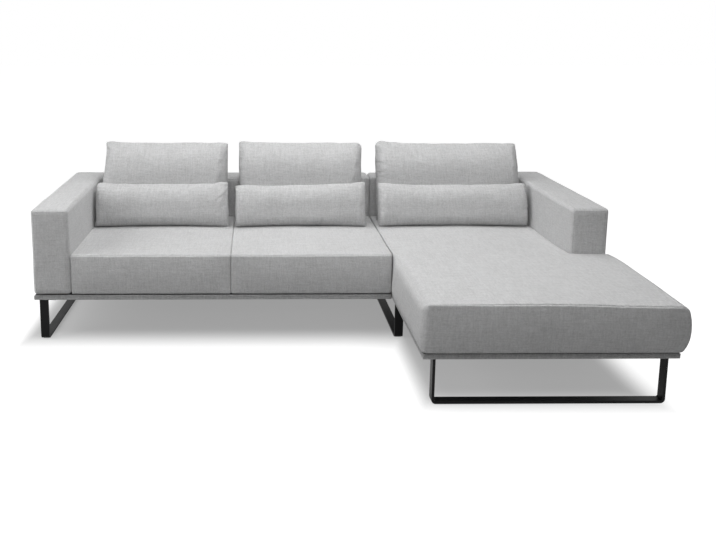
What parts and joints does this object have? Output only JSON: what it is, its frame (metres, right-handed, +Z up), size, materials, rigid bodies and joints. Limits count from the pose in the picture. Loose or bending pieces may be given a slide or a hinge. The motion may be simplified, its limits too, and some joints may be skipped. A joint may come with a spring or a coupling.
{
  "type": "corner sofa",
  "caption": "Modular corner sofa with a right-hand chaise, low arms and back, loose back and lumbar cushions, and black flat-bar sled legs.",
  "frame": {"origin": "on the floor under the middle of the sofa's overall box", "axes": "+X to the viewer's right along the sofa, +Y to the rear, +Z up; the seats face -Y"},
  "size_m": [2.9404, 1.742, 0.9189],
  "materials": {
    "woven_fabric": "light grey melange flat weave, matte",
    "foam": "open-cell foam",
    "felt": "needle felt",
    "webbing": "elastic webbing",
    "timber": "raw plywood and pine",
    "spring_steel": "drawn spring wire",
    "zinc_steel": "zinc plated",
    "black_steel": "black powder coat, fine texture, satin",
    "glide_plastic": "moulded glide",
    "bush_plastic": "moulded bush"
  },
  "bodies": {
    "chaise_module": {"chaise_plinth_board": "timber", "chaise_plinth_cover": "woven_fabric", "chaise_frame_screws": "zinc_steel", "chaise_seat_frame": "timber", "chaise_seat_springs": "spring_steel", "chaise_seat_felt": "felt", "chaise_seat_core": "foam", "chaise_seat_cover": "woven_fabric", "right_arm_frame": "timber", "right_arm_padding": "foam", "right_arm_cover": "woven_fabric", "chaise_back_frame": "timber", "chaise_back_webbing": "webbing", "chaise_back_padding": "foam", "chaise_back_cover": "woven_fabric", "middle_sled_leg": "black_steel", "right_sled_leg": "black_steel", "chaise_front_leg": "black_steel", "chaise_leg_glides": "glide_plastic", "chaise_leg_screws": "zinc_steel", "link_brackets": "black_steel", "link_screws": "zinc_steel"},
    "sofa_module": {"sofa_plinth_board": "timber", "sofa_plinth_cover": "woven_fabric", "sofa_frame_screws": "zinc_steel", "left_seat_frame": "timber", "left_seat_springs": "spring_steel", "left_seat_felt": "felt", "left_seat_core": "foam", "left_seat_cover": "woven_fabric", "middle_seat_frame": "timber", "middle_seat_springs": "spring_steel", "middle_seat_felt": "felt", "middle_seat_core": "foam", "middle_seat_cover": "woven_fabric", "left_arm_frame": "timber", "left_arm_padding": "foam", "left_arm_cover": "woven_fabric", "sofa_back_frame": "timber", "sofa_back_webbing": "webbing", "sofa_back_padding": "foam", "sofa_back_cover": "woven_fabric", "left_sled_leg": "black_steel", "left_sled_glides": "glide_plastic", "left_sled_screws": "zinc_steel", "link_bushes": "bush_plastic"},
    "left_back_cushion": {"left_back_cushion_core": "foam", "left_back_cushion_cover": "woven_fabric"},
    "left_lumbar_cushion": {"left_lumbar_cushion_core": "foam", "left_lumbar_cushion_cover": "woven_fabric"},
    "middle_back_cushion": {"middle_back_cushion_core": "foam", "middle_back_cushion_cover": "woven_fabric"},
    "middle_lumbar_cushion": {"middle_lumbar_cushion_core": "foam", "middle_lumbar_cushion_cover": "woven_fabric"},
    "right_back_cushion": {"right_back_cushion_core": "foam", "right_back_cushion_cover": "woven_fabric"},
    "right_lumbar_cushion": {"right_lumbar_cushion_core": "foam", "right_lumbar_cushion_cover": "woven_fabric"}
  },
  "joints": [
    {"name": "sofa_module_lift", "type": "slide", "parent": "chaise_module", "child": "sofa_module", "axis": [0, 0, 1], "range_m": [0, 0.05]},
    {"name": "left_back_cushion_lift", "type": "slide", "parent": "sofa_module", "child": "left_back_cushion", "axis": [0, 0.1392, 0.9903], "range_m": [0, 0.35]},
    {"name": "left_lumbar_cushion_lift", "type": "slide", "parent": "sofa_module", "child": "left_lumbar_cushion", "axis": [0, -0.5, 0.866], "range_m": [0, 0.3]},
    {"name": "middle_back_cushion_lift", "type": "slide", "parent": "sofa_module", "child": "middle_back_cushion", "axis": [0, 0.1392, 0.9903], "range_m": [0, 0.35]},
    {"name": "middle_lumbar_cushion_lift", "type": "slide", "parent": "sofa_module", "child": "middle_lumbar_cushion", "axis": [0, -0.5, 0.866], "range_m": [0, 0.3]},
    {"name": "right_back_cushion_lift", "type": "slide", "parent": "chaise_module", "child": "right_back_cushion", "axis": [0, 0.1392, 0.9903], "range_m": [0, 0.35]},
    {"name": "right_lumbar_cushion_lift", "type": "slide", "parent": "chaise_module", "child": "right_lumbar_cushion", "axis": [0, -0.5, 0.866], "range_m": [0, 0.3]}
  ]
}
